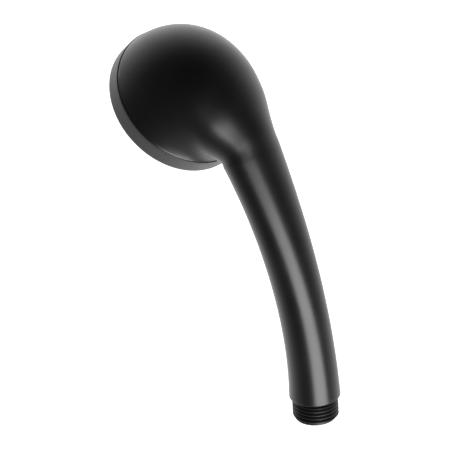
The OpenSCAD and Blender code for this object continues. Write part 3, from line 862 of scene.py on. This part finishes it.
def makeCamera():
    s = viewSettings
    a, e, roll = (math.radians(s[key]) for key in ("azimuth", "elevation", "roll"))
    back = Vector((math.sin(a) * math.cos(e), -math.cos(a) * math.cos(e), math.sin(e)))
    right = Vector((math.cos(a), math.sin(a), 0))
    up = back.cross(right)
    rolledRight = right * math.cos(roll) - up * math.sin(roll)
    rolledUp = right * math.sin(roll) + up * math.cos(roll)
    x, y = s["aim"]
    target = Vector((0, 0, s["inletHeight"] * mm)) + (rolledRight * x + rolledUp * y) * mm
    data = bpy.data.cameras.new("mainCamera")
    camera = bpy.data.objects.new("mainCamera", data)
    scene.collection.objects.link(camera)
    turn = Matrix((rolledRight, rolledUp, back)).transposed().to_4x4()
    camera.matrix_world = Matrix.Translation(target + back * s["distance"]) @ turn
    data.sensor_width = 36
    data.lens = s["distance"] / (s["frameWidth"] * mm) * data.sensor_width
    data.clip_start, data.clip_end = 0.1, 60
    scene.camera = camera
    return back, rolledRight, rolledUp


cameraBack, cameraRight, cameraUp = makeCamera()
print("camera made")


# pale floor, soft studio light

studio = {
    "objectMiddle": (0, -0.04, 0.09),
    "floorDrop": 1.2, "floorSize": 60.0, "floorColour": "#f4f4f4", "floorGlow": 1.0,
    # brightness round the object, from the camera's side (0) to the far side (1)
    "surround": ((0.0, 0.02), (0.146, 0.03), (0.371, 0.11), (0.587, 0.5), (0.75, 0.95), (0.883, 1.0)),
    "surroundStrength": 1.4,
    # the soft box, by its angle off the camera axis and its turn round it
    "boxDistance": 0.8, "boxTilt": 55.0, "boxTurn": 301.0, "boxSize": (0.62, 0.85), "boxPower": 12.5,
}


def makeFloor():
    half, z = studio["floorSize"] / 2, -studio["floorDrop"]
    corners = [(x * half, y * half, z) for x, y in ((-1, -1), (1, -1), (1, 1), (-1, 1))]
    floor = meshPiece("studioFloor", corners, [(0, 1, 2, 3)])
    material, tree, shader, place = newFinish("paleStudioPaper")
    paper = addNode(tree, "ShaderNodeTexNoise", inputs={"Vector": place, "Scale": 8.0})
    bump = addNode(tree, "ShaderNodeBump", inputs={"Height": paper.outputs["Fac"], "Distance": 0.0002})
    tree.links.new(bump.outputs["Normal"], shader.inputs["Normal"])
    shader.inputs["Base Color"].default_value = hexColour(studio["floorColour"])
    shader.inputs["Roughness"].default_value = 0.9
    shader.inputs["Emission Color"].default_value = (1, 1, 1, 1)
    shader.inputs["Emission Strength"].default_value = studio["floorGlow"]
    floor.data.materials.append(material)
    floor.visible_glossy = False                         # black flags round the object hide it in the gloss


# The studio round the object: dark on the camera's side, bright paper behind
def makeSurround():
    world = bpy.data.worlds.new("studioAir")
    scene.world = world
    world.use_nodes = True
    tree = world.node_tree
    tree.nodes.clear()
    look = addNode(tree, "ShaderNodeTexCoord").outputs["Generated"]
    facing = addNode(tree, "ShaderNodeVectorMath", {"operation": "DOT_PRODUCT"}, {0: look, 1: cameraBack})
    away = addNode(tree, "ShaderNodeMapRange", inputs={
        "Value": facing.outputs["Value"], "From Min": 1.0, "From Max": -1.0, "To Min": 0.0, "To Max": 1.0})
    ramp = addNode(tree, "ShaderNodeValToRGB", inputs={"Fac": away.outputs["Result"]})
    stops = ramp.color_ramp.elements
    while len(stops) < len(studio["surround"]):
        stops.new(1.0)
    for stop, (at, value) in zip(stops, studio["surround"]):
        stop.position, stop.color = at, (value, value, value, 1)
    around = addNode(tree, "ShaderNodeBackground", inputs={
        "Color": ramp.outputs["Color"], "Strength": studio["surroundStrength"]})
    paper = addNode(tree, "ShaderNodeBackground", inputs={"Color": (1, 1, 1, 1), "Strength": 1.0})
    seen = addNode(tree, "ShaderNodeLightPath").outputs["Is Camera Ray"]
    both = addNode(tree, "ShaderNodeMixShader", inputs={0: seen, 1: around.outputs[0], 2: paper.outputs[0]})
    addNode(tree, "ShaderNodeOutputWorld", inputs={"Surface": both.outputs[0]})


def makeSoftBox():
    tilt, turn = math.radians(studio["boxTilt"]), math.radians(studio["boxTurn"])
    outward = cameraRight * math.cos(turn) + cameraUp * math.sin(turn)
    direction = outward * math.sin(tilt) + cameraBack * math.cos(tilt)
    length = (outward * math.cos(tilt) - cameraBack * math.sin(tilt)).normalized()
    data = bpy.data.lights.new("boxLight", "AREA")
    data.shape = "RECTANGLE"
    data.size, data.size_y = studio["boxSize"]
    data.energy = studio["boxPower"]
    lamp = bpy.data.objects.new("boxLight", data)
    scene.collection.objects.link(lamp)
    turned = Matrix((length.cross(direction), length, direction)).transposed().to_4x4()
    place = Vector(studio["objectMiddle"]) + direction * studio["boxDistance"]
    lamp.matrix_world = Matrix.Translation(place) @ turned
    lamp.visible_camera = False


makeFloor()
makeSurround()
makeSoftBox()
scene.view_settings.view_transform = "Standard"
print("studio made")
